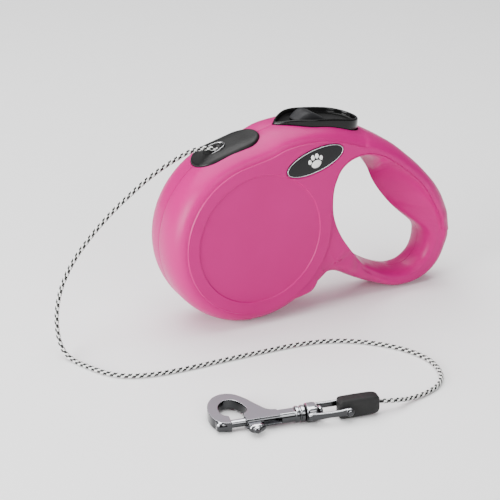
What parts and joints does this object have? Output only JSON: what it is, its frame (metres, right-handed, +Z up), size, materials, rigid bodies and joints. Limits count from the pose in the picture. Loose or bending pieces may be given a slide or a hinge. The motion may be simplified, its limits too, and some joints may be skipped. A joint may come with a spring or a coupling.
{
  "type": "retractable cord leash",
  "caption": "Retractable cord leash: two-shell drum casing with a finger-hole handle, spring reel, thumb brake and a bolt-snap hook on a braided cord.",
  "frame": {"origin": "under the middle of the casing, at the level it stands on", "axes": "+X from the nose to the handle, +Y to the casing's right side, +Z up"},
  "size_m": [0.1734, 0.1068, 0.0812],
  "materials": {
    "casing_pink": "satin, fine grain",
    "gloss_black": "gloss",
    "satin_black": "satin",
    "matt_grey": "matt",
    "natural_plastic": "moulded",
    "steel": "plain",
    "chrome": "polished",
    "cord": "braided"
  },
  "bodies": {
    "casing": {"left_shell": "casing_pink", "right_shell": "casing_pink", "left_badge": "gloss_black", "right_badge": "gloss_black", "cord_guide": "satin_black", "button_spring": "steel", "pawl_pin": "steel", "pawl_spring": "steel", "spring_arbor": "satin_black", "axle": "steel", "left_washer": "steel", "right_washer": "steel", "cord_inner_run": "cord", "screw_nose": "steel", "screw_panel": "steel", "screw_neck": "steel", "screw_arm": "steel", "cord": "cord", "end_sleeve": "satin_black"},
    "reel": {"reel": "natural_plastic", "cord_winding": "cord", "mainspring": "steel", "spring_cover": "natural_plastic"},
    "button": {"brake_button": "gloss_black"},
    "slider": {"lock_slider": "matt_grey"},
    "pawl": {"brake_pawl": "natural_plastic"},
    "fork": {"swivel_fork": "chrome", "fork_pin": "chrome"},
    "hook": {"hook_body": "chrome", "bolt_spring": "steel"},
    "bolt": {"hook_bolt": "chrome"}
  },
  "joints": [
    {"name": "reel_spin", "type": "hinge", "parent": "casing", "child": "reel", "pos_m": [-0.0284, 0, 0.0366], "axis": [0, 1, 0], "continuous": true},
    {"name": "brake_press", "type": "hinge", "parent": "casing", "child": "button", "pos_m": [0.0166, 0, 0.075], "axis": [0, -1, 0], "range_deg": [0, 5], "stiffness_Nm_per_rad": 1, "springref_deg": -1.72, "deforming": ["button_spring"]},
    {"name": "pawl_turn", "type": "hinge", "parent": "casing", "child": "pawl", "pos_m": [0.0046, -0.0085, 0.0678], "axis": [0, -1, 0], "range_deg": [0, 8], "deforming": ["pawl_spring"]},
    {"name": "lock_slide", "type": "slide", "parent": "button", "child": "slider", "axis": [0.9961, 0, -0.088], "range_m": [0, 0.004]},
    {"name": "fork_tilt", "type": "hinge", "parent": "casing", "child": "fork", "pos_m": [-0.03355, -0.0881, 0.00395], "axis": [0.2164, 0.9763, 0], "range_deg": [-90, 90]},
    {"name": "hook_swivel", "type": "hinge", "parent": "fork", "child": "hook", "pos_m": [-0.03355, -0.0881, 0.00395], "axis": [0.9756, -0.2163, 0.0384], "continuous": true},
    {"name": "bolt_slide", "type": "slide", "parent": "hook", "child": "bolt", "axis": [0.9756, -0.2163, 0.0384], "range_m": [0, 0.006], "stiffness_N_per_m": 300, "springref_m": -0.004}
  ],
  "couplings": [
    {"joint": "pawl_turn", "follows": "brake_press", "ratio": 1}
  ]
}
